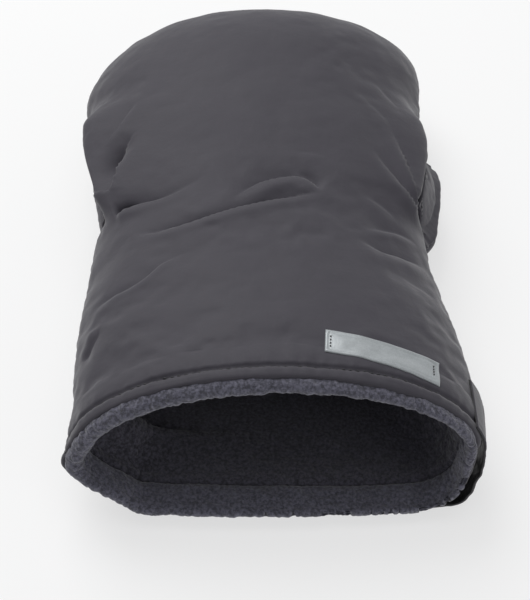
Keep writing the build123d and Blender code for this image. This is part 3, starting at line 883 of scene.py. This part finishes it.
def label(tree):
    """Woven silver label, bridging the cloth under it, thinner at its edges and grooved inside its border."""
    columns, rows = 90, 26
    a = np.linspace(-0.5, 0.5, columns) * LABEL_LENGTH
    b = np.linspace(-0.5, 0.5, rows) * LABEL_WIDTH
    under = np.array([[label_spot(tree, p, q) for p in a] for q in b])
    plain = under.copy()
    fit = np.polynomial.polynomial.polyvander2d(*np.meshgrid(a / LABEL_LENGTH, b / LABEL_WIDTH), [4, 2])
    flat = fit.reshape(-1, fit.shape[-1])
    for k in range(3):
        solved = np.linalg.lstsq(flat, under[..., k].ravel(), rcond=None)[0]
        plain[..., k] = (flat @ solved).reshape(rows, columns)
    normal = np.cross(np.gradient(plain, axis=1), np.gradient(plain, axis=0))
    normal /= np.linalg.norm(normal, axis=-1, keepdims=True)
    rise = ((under - plain) * normal).sum(-1)
    edge = np.minimum(LABEL_LENGTH / 2 - np.abs(a)[None, :], LABEL_WIDTH / 2 - np.abs(b)[:, None])
    top = 0.45 * MM + 0.75 * rise + 0.35 * MM * smooth(edge / (0.8 * MM))
    border = -0.4 * bump(edge - 2.0 * MM, 0.4 * MM) + 0.25 * bump(edge - 1.1 * MM, 0.6 * MM)
    top = top + (border + 0.12 * noise_at(plain, 8 * MM, 14.0, 2)) * MM
    upper = plain + normal * top[..., None]
    lower = plain + normal * (rise - 0.1 * MM)[..., None]
    piece = closed_sheet("silver_label", upper, lower, body="muff", replaces=["reflective_label"],
                         slot="label")
    uv = np.stack(np.meshgrid(a, b), -1).reshape(-1, 2)
    add_uv(piece, np.vstack((uv, uv)))
    return piece


# ---- Cuff strap ----
STRAP_FRONT = 4 * MM
STRAP_WIDTH = 32 * MM
STRAP_END_X = 43.4 * MM
STRAP_TOP_ANGLE = 0.27  # radians above the seam, where the strap is sewn on
STRAP_STEP = 0.9 * MM


def strap_path():
    """The strap's inner face: sewn to the side, loose round the corner and flat under the cuff."""
    angles = np.linspace(STRAP_TOP_ANGLE, -1.0, 120)
    down = smooth((STRAP_TOP_ANGLE - angles) / 0.5)
    tuck = smooth((-angles - 0.45) / 0.5)
    gap = (0.8 + 4.6 * down - 4.0 * tuck) * MM
    along = STRAP_FRONT + np.linspace(0, 1, 34) * STRAP_WIDTH
    corner = surface(along[None, :], angles[:, None])
    normal = normals_of(corner)
    inwards = (normal * (corner - (0, 0, SEAM_Z))).sum(-1, keepdims=True) < 0
    out = corner + np.where(inwards, -normal, normal) * gap[:, None, None]
    run = int((out[-1][:, 0].mean() - STRAP_END_X) / STRAP_STEP)
    under = out[-1] - np.arange(1, run + 1)[:, None, None] * (STRAP_STEP, 0, 0)
    path = np.concatenate((out, under))
    settle = smooth((np.linspace(0, 1, len(path))[:, None] - 0.42) / 0.16)
    level = ground(path[..., 1]) - 1.5 * MM
    path[..., 2] = path[..., 2] * (1 - settle) + level * settle
    return path


def strap_sheet(name, path, near, far, replaces, slot, crinkle):
    """One cloth of the strap, between two distances out from the strap's inner face."""
    normal = normals_of(path)
    start = slice(len(path) // 3)
    outwards = path[start].mean((0, 1)) * (1, 0, 1) - (0, 0, SEAM_Z)
    if (outwards * normal[start].mean((0, 1))).sum() < 0:
        normal = -normal
    rows, columns = path.shape[:2]
    t = np.linspace(0, 1, rows)[:, None]
    across = np.linspace(0, 1, columns)[None, :]
    edge = np.minimum(across, 1 - across) * STRAP_WIDTH
    waves = crinkle * noise_at(path * np.array((1, 0.45, 1)), 6.5 * MM, 21.0, 2) * smooth((t - 0.1) / 0.15)
    waves = waves * (1 - 0.75 * smooth((t - 0.5) / 0.2))
    roll = -0.25 * bump(edge, 1.0 * MM)
    ditch = -0.3 * bump(edge - 2.6 * MM, 0.6 * MM)
    shift = (waves + roll + ditch) * MM
    inner = path + normal * (near + shift)[..., None]
    outer = path + normal * (far + shift)[..., None]
    return closed_sheet(name, outer, inner, replaces=replaces, slot=slot)


# ---- Materials ----
class Finish:
    """A procedural material under construction. Numbers that don't vary are set on the shader itself."""

    def __init__(self, name, colour, roughness, **sockets):
        self.material = bpy.data.materials.new(name)
        self.material.use_nodes = True
        self.tree = self.material.node_tree
        self.shader = self.tree.nodes["Principled BSDF"]
        self.shader.inputs["Base Color"].default_value = (*colour, 1)
        self.shader.inputs["Roughness"].default_value = roughness
        for socket, value in sockets.items():
            self.shader.inputs[socket.replace("_", " ")].default_value = value
        self.height = None

    def feed(self, socket, value):
        """Links a socket to another node's output, or sets it."""
        if isinstance(value, bpy.types.NodeSocket):
            self.tree.links.new(value, socket)
        else:
            socket.default_value = value

    def node(self, kind, **values):
        node = self.tree.nodes.new("ShaderNode" + kind)
        for key, value in values.items():
            if key in node.bl_rna.properties:
                setattr(node, key, value)
            else:
                self.feed(node.inputs[key], value)
        return node

    def place(self, cloth=False):
        coordinates = self.node("TexCoord")
        return coordinates.outputs["UV" if cloth else "Object"]

    def noise(self, scale, detail=2.0, roughness=0.5, cloth=False, stretch=None):
        vector = self.place(cloth)
        if stretch:
            vector = self.node("Mapping", Vector=vector, Scale=stretch).outputs["Vector"]
        texture = self.node("TexNoise", Vector=vector, Scale=scale, Detail=detail, Roughness=roughness)
        return texture.outputs["Fac"]

    def cells(self, scale, randomness=1.0):
        texture = self.node("TexVoronoi", Vector=self.place(), Scale=scale, Randomness=randomness)
        return texture.outputs["Distance"]

    def bands(self, pitch, direction, cloth=True, distortion=0.0):
        scale = 0.31416 / pitch  # a band texture repeats every 2 pi / (20 * scale)
        texture = self.node("TexWave", wave_type="BANDS", bands_direction=direction, Vector=self.place(cloth),
                            Scale=scale, Distortion=distortion)
        return texture.outputs["Fac"]

    def math(self, operation, a, b):
        node = self.node("Math", operation=operation)
        for socket, value in zip(node.inputs, (a, b)):
            self.feed(socket, value)
        return node.outputs[0]

    def ramp(self, value, low, high, start=0.0, end=1.0):
        limits = {"From Min": start, "From Max": end, "To Min": low, "To Max": high}
        return self.node("MapRange", Value=value, **limits).outputs["Result"]

    def tint(self, factor, colour, dark, pale):
        """The base colour, from a darker to a paler shade of one colour."""
        node = self.node("Mix", data_type="RGBA")
        self.feed(node.inputs[0], factor)
        for socket, share in ((node.inputs[6], dark), (node.inputs[7], pale)):
            socket.default_value = (*shade(colour, share), 1)
        self.set("Base Color", node.outputs[2])

    def set(self, socket, output):
        self.tree.links.new(output, self.shader.inputs[socket])

    def relief(self, height, strength, distance):
        """Adds a layer of bump."""
        node = self.node("Bump", Height=height, Strength=strength, Distance=distance)
        if self.height:
            self.tree.links.new(self.height, node.inputs["Normal"])
        self.height = node.outputs["Normal"]
        self.tree.links.new(self.height, self.shader.inputs["Normal"])


def shade(colour, factor):
    return tuple(c * factor for c in colour)


def weave(finish, pitch, cloth=True):
    """A plain weave's height: two sets of ribs, at the given thread pitch."""
    warp, weft = (finish.bands(pitch, direction, cloth, 0.4) for direction in "XY")
    return finish.math("MULTIPLY", warp, weft)


def nylon(name, colour, cloth=True):
    """Satin-matt coated nylon: fine weave, faint slubs and small rubbed creases."""
    finish = Finish(name, colour, 0.6, Sheen_Weight=0.25, Sheen_Roughness=0.5, Specular_IOR_Level=0.22)
    mottle = finish.noise(24, 4, 0.6)
    slubs = finish.noise(700, 2, 0.6, cloth, (1, 0.08, 1) if cloth else None)
    tone = finish.math("ADD", finish.ramp(mottle, 0.0, 0.7), finish.ramp(slubs, 0.0, 0.3))
    finish.tint(tone, colour, 0.86, 1.14)
    finish.set("Roughness", finish.ramp(mottle, 0.54, 0.68))
    finish.relief(finish.noise(95, 3, 0.55), 0.16, 0.0022)
    finish.relief(finish.noise(330, 2, 0.6), 0.10, 0.0006)
    finish.relief(weave(finish, 0.42 * MM, cloth), 0.22, 0.00012)
    return finish.material


def brushed_fleece(name, colour):
    """Brushed fleece: curly tufts, with painted shade between them and painted light making their tips paler.
    """
    finish = Finish(name, colour, 0.95, Sheen_Weight=0.35, Sheen_Roughness=0.6, Specular_IOR_Level=0.1)
    tufts = finish.cells(560)
    curls = finish.noise(640, 4, 0.75)
    patches = finish.noise(110, 3, 0.6)
    # tone: painted shade between the tufts and curls and painted light on their raised tips, with patches
    # that vary at random
    tone = finish.math("ADD", finish.ramp(tufts, 0.6, 0.0, 0.0, 0.9), finish.ramp(patches, -0.2, 0.2))
    tone = finish.math("ADD", finish.ramp(curls, -0.75, 1.15, 0.3, 0.7), tone)
    finish.tint(tone, colour, 0.5, 1.45)
    finish.relief(curls, 0.55, 0.0009)
    finish.relief(tufts, 0.5, -0.0008)
    return finish.material


def fibre(name, colour):
    finish = Finish(name, colour, 0.9, Sheen_Weight=0.3, Specular_IOR_Level=0.1)
    tone = finish.noise(500, 2, 0.6)
    finish.tint(tone, colour, 0.6, 1.5)
    return finish.material


def silver_weave(name, colour):
    """Retro-reflective silver tape: fine twill, tiny paler specks painted in as highlights, and a little
    soiling.
    """
    finish = Finish(name, colour, 0.42, Metallic=0.25, Specular_IOR_Level=0.5)
    painted_glint = finish.cells(1900)
    cloud = finish.noise(330, 5, 0.75)
    twill = finish.bands(0.45 * MM, "DIAGONAL")
    # the paler specks are painted highlights; the cloud varies the tone at random
    tone = finish.math("ADD", finish.ramp(cloud, 0.0, 0.7), finish.ramp(painted_glint, 0.35, 0.0, 0.0, 0.8))
    finish.tint(tone, colour, 0.68, 1.15)
    finish.set("Roughness", finish.ramp(cloud, 0.32, 0.5))
    finish.relief(cloud, 0.2, 0.0005)
    finish.relief(twill, 0.3, 0.00012)
    return finish.material


def thread(name, colour):
    """Twisted polyester thread."""
    finish = Finish(name, colour, 0.55, Sheen_Weight=0.2)
    twist = finish.noise(2600, 2, 0.6)
    finish.tint(twist, colour, 0.7, 1.3)
    finish.relief(twist, 0.4, 0.0001)
    return finish.material


def tape(name, colour, scale):
    """Woven tape with a pile: hooks or loops."""
    finish = Finish(name, colour, 0.8, Sheen_Weight=0.2, Specular_IOR_Level=0.2)
    pile = finish.cells(scale, 0.5)
    tone = finish.ramp(pile, 1.0, 0.0, 0.0, 0.7)
    finish.tint(tone, colour, 0.4, 1.5)
    finish.relief(pile, 0.9, -0.0006)
    return finish.material


def crinkled(name, colour):
    """Thin dark cloth with sharp little creases."""
    finish = Finish(name, colour, 0.42, Sheen_Weight=0.05, Specular_IOR_Level=0.45)
    folds = finish.noise(210, 3, 0.6)
    finish.tint(folds, colour, 0.7, 1.3)
    finish.relief(folds, 0.45, 0.0016)
    finish.relief(finish.noise(1500, 2, 0.5), 0.15, 0.0002)
    return finish.material


def enamel(name, colour):
    """Painted metal, rubbed a little."""
    finish = Finish(name, colour, 0.34, Metallic=0.3, Specular_IOR_Level=0.5)
    wear = finish.noise(900, 4, 0.7)
    finish.tint(finish.ramp(wear, 0, 1, 0.5, 0.75), colour, 1.0, 2.0)
    finish.set("Roughness", finish.ramp(wear, 0.28, 0.5))
    finish.relief(finish.noise(2200, 2, 0.5), 0.1, 0.0001)
    return finish.material


def nickel(name, colour):
    """Dull plated steel, with fine turned lines."""
    finish = Finish(name, colour, 0.3, Metallic=1.0)
    lines = finish.noise(1400, 3, 0.6)
    finish.set("Roughness", finish.ramp(lines, 0.22, 0.42))
    finish.tint(lines, colour, 0.85, 1.1)
    finish.relief(lines, 0.12, 0.0001)
    return finish.material


SHELL_GREY = (0.0555, 0.0515, 0.0640)
FLEECE_GREY = (0.100, 0.098, 0.130)
# the lining's fleece: the rim fleece's grey made about a third darker, as painted shade for the muff's dark
# inside
SHADED_LINING_GREY = (0.064, 0.061, 0.080)
SILVER = (0.49, 0.52, 0.535)
BLACK_CLOTH = (0.010, 0.0095, 0.010)
THREAD_GREY = (0.020, 0.019, 0.022)


def paint(piece, material):
    piece.data.materials.clear()
    piece.data.materials.append(material)


def paint_node(node, material):
    """Gives a carried-over CAD node its finish."""
    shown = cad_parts[node]
    if not shown.material_slots:
        shown.data.materials.append(material)
    for slot in shown.material_slots:
        slot.material = material


# ---- Stage ----
FLOOR_SIZE = 4.0
FLOOR_COLOUR = (0.34, 0.34, 0.34)
FLOOR_GLOW = 0.64  # keeps the shadow on the floor pale


def add_stage():
    corners = [(x * FLOOR_SIZE, y * FLOOR_SIZE, 0) for x, y in ((-1, -1), (1, -1), (1, 1), (-1, 1))]
    floor = new_piece("floor", corners, [(0, 1, 2, 3)], smooth_faces=False)
    floor.location.z = -0.2 * MM
    finish = Finish("floor", FLOOR_COLOUR, 0.9, Specular_IOR_Level=0, Emission_Color=(1, 1, 1, 1),
                    Emission_Strength=FLOOR_GLOW)
    paint(floor, finish.material)


LIGHT_AIM = Vector((0, 0, 30 * MM))
LIGHTS = {  # place, size and power
    "key": ((-0.6, 1.1, 1.5), 1.6, 23),
    "overhead": ((-0.1, 0.2, 1.9), 2.0, 9),
    "front": ((1.3, -1.1, 0.75), 0.9, 2.2),
}
SKY_COLOUR = (0.96, 0.98, 1.0, 1)
SKY_STRENGTH = 0.27


def add_light(name, place, size, power):
    light = bpy.data.lights.new(name, "AREA")
    light.shape = "DISK"
    light.size = size
    light.energy = power
    lamp = bpy.data.objects.new(name, light)
    lamp.location = place
    lamp.rotation_euler = (LIGHT_AIM - Vector(place)).to_track_quat("-Z", "Y").to_euler()
    bpy.context.scene.collection.objects.link(lamp)


def add_lights():
    world = bpy.data.worlds.new("studio")
    world.use_nodes = True
    sky = world.node_tree.nodes["Background"].inputs
    sky["Color"].default_value = SKY_COLOUR
    sky["Strength"].default_value = SKY_STRENGTH
    bpy.context.scene.world = world
    for name, (place, size, power) in LIGHTS.items():
        add_light(name, place, size, power)
    bpy.context.scene.view_settings.view_transform = "Standard"


# ---- Assembly ----
def hem_path():
    """The topstitching's line round the cuff, a closed loop."""
    return surface(HEM_STITCH, np.linspace(0, 2 * math.pi, 500))


def label_paths(tree):
    """Lines of stitching across both short ends of the label."""
    reach_a, reach_b = LABEL_LENGTH / 2 - LABEL_SEAM, LABEL_WIDTH / 2 - LABEL_SEAM
    corners = [(-reach_a, -reach_b), (-reach_a, reach_b), (reach_a, reach_b), (reach_a, -reach_b)]
    return [[label_spot(tree, *corners[i]), label_spot(tree, *corners[i + 1])] for i in (0, 2)]


def build_muff():
    grey = nylon("grey_nylon", SHELL_GREY)
    upper = outer_panel("upper_panel", True)
    lower = outer_panel("lower_panel", False)
    for piece, half in ((upper, "upper"), (lower, "lower")):
        paint(piece, grey)
        add_thickness(piece, 0.9 * MM)
        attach(piece, "muff")
        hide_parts(half + "_shell", half + "_wadding")
    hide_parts("snap_posts", "stud_patches")
    wool = brushed_fleece("brushed_fleece", FLEECE_GREY)
    # the lining gets a darker copy of the fleece, as painted shade deep inside the muff
    shaded_lining_wool = brushed_fleece("shaded_lining_fleece", SHADED_LINING_GREY)
    halves = []
    for half in ("upper", "lower"):
        piece, is_shaded_lining = fleece(half + "_fleece", half == "upper")
        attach(piece, "muff")
        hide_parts(half + "_lining", half + "_cuff_facing")
        paint(piece, wool)
        piece.data.materials.append(shaded_lining_wool)
        piece.data.polygons.foreach_set("material_index", is_shaded_lining.astype(np.int32))
        halves.append(piece)
    pile = fleece_pile("fleece_pile", halves, PILE_COUNT)
    paint(pile, fibre("fleece_fibre", FLEECE_GREY))
    for piece in halves:
        add_thickness(piece, 1.6 * MM)
    return upper, lower


def build_details(upper, lower, dark_thread):
    hem = stitch_line("hem_stitches", tree_of(upper, lower), hem_path(), 2.6 * MM, 0.9 * MM, 0.36 * MM,
                      "muff", ["cuff_topstitch"])
    paint(hem, dark_thread)
    silver = label(tree_of(upper))
    paint(silver, silver_weave("silver_weave", SILVER))
    on_label = tree_of(silver)
    lines = label_paths(on_label)
    for name, line in zip(("label_stitches_left", "label_stitches_right"), lines):
        path = [Vector(line[0]).lerp(Vector(line[1]), t) for t in np.linspace(0, 1, 20)]
        replaced = ["label_stitching"] if name.endswith("left") else []
        row = stitch_line(name, on_label, path, 1.7 * MM, 0.4 * MM, 0.4 * MM, "muff", replaced,
                          "label_thread")
        paint(row, dark_thread)


# Pairs of radius and height of the press studs' parts, in mm.
CAP = ((3.6, -1.2), (3.6, 0.7), (3.2, 1.05), (2.1, 1.2), (1.3, 1.05), (0.9, 0.6))
SOCKET = ((4.2, 0.2), (4.2, -0.5), (3.9, -0.8), (3.3, -0.8), (3.1, -0.3), (2.2, -0.2), (2.1, 0.2))
STUD = ((4.2, -0.6), (4.2, 0.1), (3.8, 0.35), (2.0, 0.4), (1.7, 0.6), (1.7, 1.0), (1.95, 1.3), (1.6, 1.6),
        (0.8, 1.65))
NICKEL_GREY = (0.50, 0.50, 0.51)
CAP_GREY = (0.05, 0.048, 0.055)


def build_stud(side, hand, trees, flap_tree):
    """The press stud of one flap: its cap and socket on the flap, and the stud on the muff."""
    y, z = STUD_Y, SEAM_Z + STUD_UP
    inwards = (-side, 0, 0)
    outside = flap_tree.ray_cast((side * FAR, y, z), inwards)
    inside = flap_tree.ray_cast((outside[0].x - side * 0.5 * MM, y, z), inwards)
    hits = [tree.ray_cast((inside[0].x, y, z), inwards)[0] for tree in trees]
    under = max((hit for hit in hits if hit), key=lambda hit: side * hit.x)
    metal = nickel(hand + "_nickel", NICKEL_GREY)
    out = (side, 0, 0.35)
    facing = outside[1].normalized() * 0.6 + Vector(out).normalized() * 0.4
    turned(hand + "_cap", outside[0], facing, CAP, hand + "_bar_flap", [hand + "_snap_cap"],
           enamel(hand + "_cap_enamel", CAP_GREY))
    turned(hand + "_socket", inside[0], out, SOCKET, hand + "_bar_flap", [hand + "_snap_socket"], metal)
    turned(hand + "_stud", under, out, STUD, "muff", ["snap_studs"], metal)


def build_flaps(dark_thread, trees):
    # the flaps' nylon is the shell's grey made 8% paler, as painted light on the flaps
    grey = nylon("flap_nylon", shade(SHELL_GREY, 1.08))
    # the binding is the shell's nylon made 30% darker, as painted shade in the handlebar openings
    cloth = nylon("binding_cloth", shade(SHELL_GREY, 0.7), cloth=False)
    for side, hand in ((1, "right"), (-1, "left")):
        body = hand + "_bar_flap"
        piece = flap(side, hand + "_flap", trees)
        paint(piece, grey)
        tree = tree_of(piece)
        build_stud(side, hand, trees, tree)
        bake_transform(piece)
        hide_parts(*(f"{hand}_flap_{part}" for part in ("shell", "wadding", "lining")))
        edge = stitch_line(hand + "_flap_stitches", tree, flap_path(side, 3 * MM), 2.3 * MM, 0.9 * MM,
                           0.26 * MM, body, [hand + "_flap_topstitch"])
        paint(edge, dark_thread)
        paint(slot_binding(side, hand + "_slot_binding"), cloth)


def build_strap(dark_thread):
    path = strap_path()
    # the strap's nylon is the shell's grey made 10% darker, as painted shade
    grey = nylon("shaded_strap_grey", shade(SHELL_GREY, 0.9), cloth=False)
    black = crinkled("black_cloth", BLACK_CLOTH)
    outer = strap_sheet("strap_outer", path, 0.55 * MM, 1.15 * MM, ["strap_shell"], "strap_webbing", 0.9)
    inner = strap_sheet("strap_inner", path, 0.0, 0.55 * MM, ["strap_lining"], "black_tape", 0.9)
    paint(outer, grey)
    paint(inner, black)
    for piece in (outer, inner):
        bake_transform(piece)
    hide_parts("strap_anchor")
    paint_node("hook_tape", tape("hook_pile", shade(BLACK_CLOTH, 1.6), 1300))
    paint_node("loop_tape", tape("loop_pile", shade(BLACK_CLOTH, 2.2), 900))
    tree = tree_of(outer)
    for name, row in (("strap_tacks_upper", 2), ("strap_tacks_lower", 6)):
        line = path[row] * 0.9 + path[row].mean(0) * 0.1
        replaced = ["strap_bar_tacks"] if row == 2 else []
        tacks = stitch_line(name, tree, line, 2.2 * MM, 0.5 * MM, 0.3 * MM, "muff", replaced)
        paint(tacks, dark_thread)


add_camera()
add_stage()
add_lights()
upper_panel, lower_panel = build_muff()
grey_thread = thread("grey_thread", THREAD_GREY)
build_details(upper_panel, lower_panel, grey_thread)
build_flaps(grey_thread, [tree_of(upper_panel), tree_of(lower_panel)])
build_strap(grey_thread)
